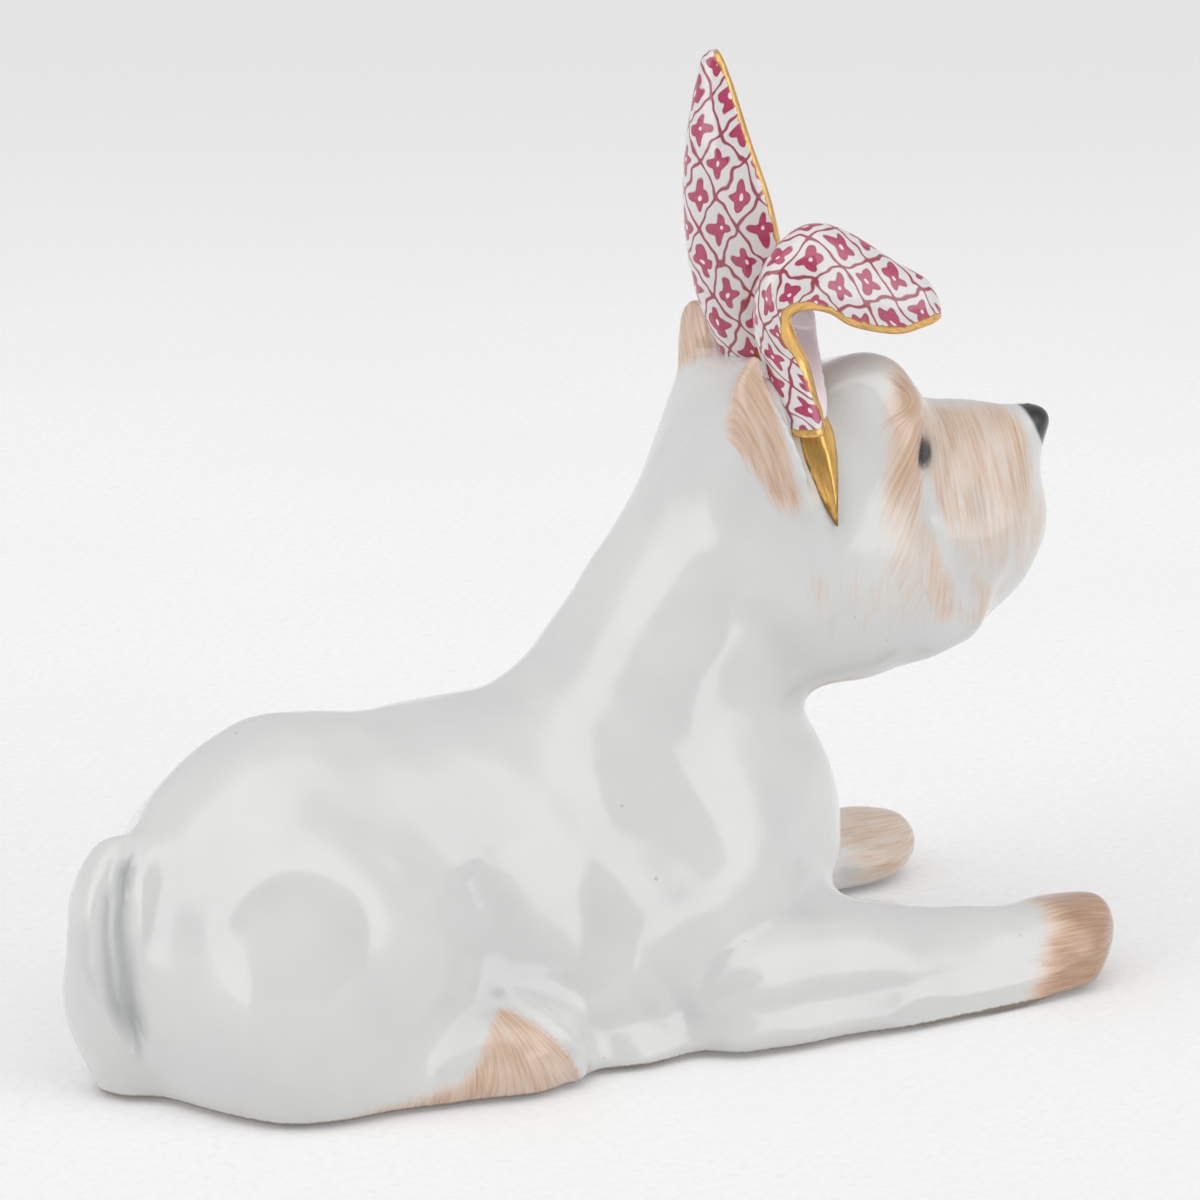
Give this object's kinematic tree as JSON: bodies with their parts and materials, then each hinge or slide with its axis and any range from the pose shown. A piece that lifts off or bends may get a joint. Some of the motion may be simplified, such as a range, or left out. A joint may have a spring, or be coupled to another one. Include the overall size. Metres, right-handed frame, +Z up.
{
  "type": "porcelain dog figurine",
  "caption": "Glazed porcelain terrier lying with its head raised and turned to its right, wearing a gilded headband with rabbit ears, the near one folded forward.",
  "frame": {"origin": "on the surface the figurine stands on, under the middle of its outline seen from above", "axes": "+X the way the dog's body faces, +Y the dog's left, +Z up"},
  "size_m": [0.0884, 0.0398, 0.0774],
  "materials": {
    "white_glaze": "clear gloss glaze over white hard-paste porcelain, with tan brush strokes painted under it",
    "raspberry_glaze": "raspberry lattice painted on white under clear gloss glaze, with a gilded rim and a pale pink inside",
    "gold": "bright burnished gold lustre, fired on the glaze"
  },
  "bodies": {
    "root": {"torso": "white_glaze", "head": "white_glaze", "foreleg_left": "white_glaze", "foreleg_right": "white_glaze", "hind_foot_left": "white_glaze", "hind_foot_right": "white_glaze", "tail": "white_glaze", "dog_ear_left": "white_glaze", "dog_ear_right": "white_glaze", "headband": "gold", "rabbit_ear_upright": "raspberry_glaze", "rabbit_ear_folded": "raspberry_glaze"}
  },
  "joints": []
}
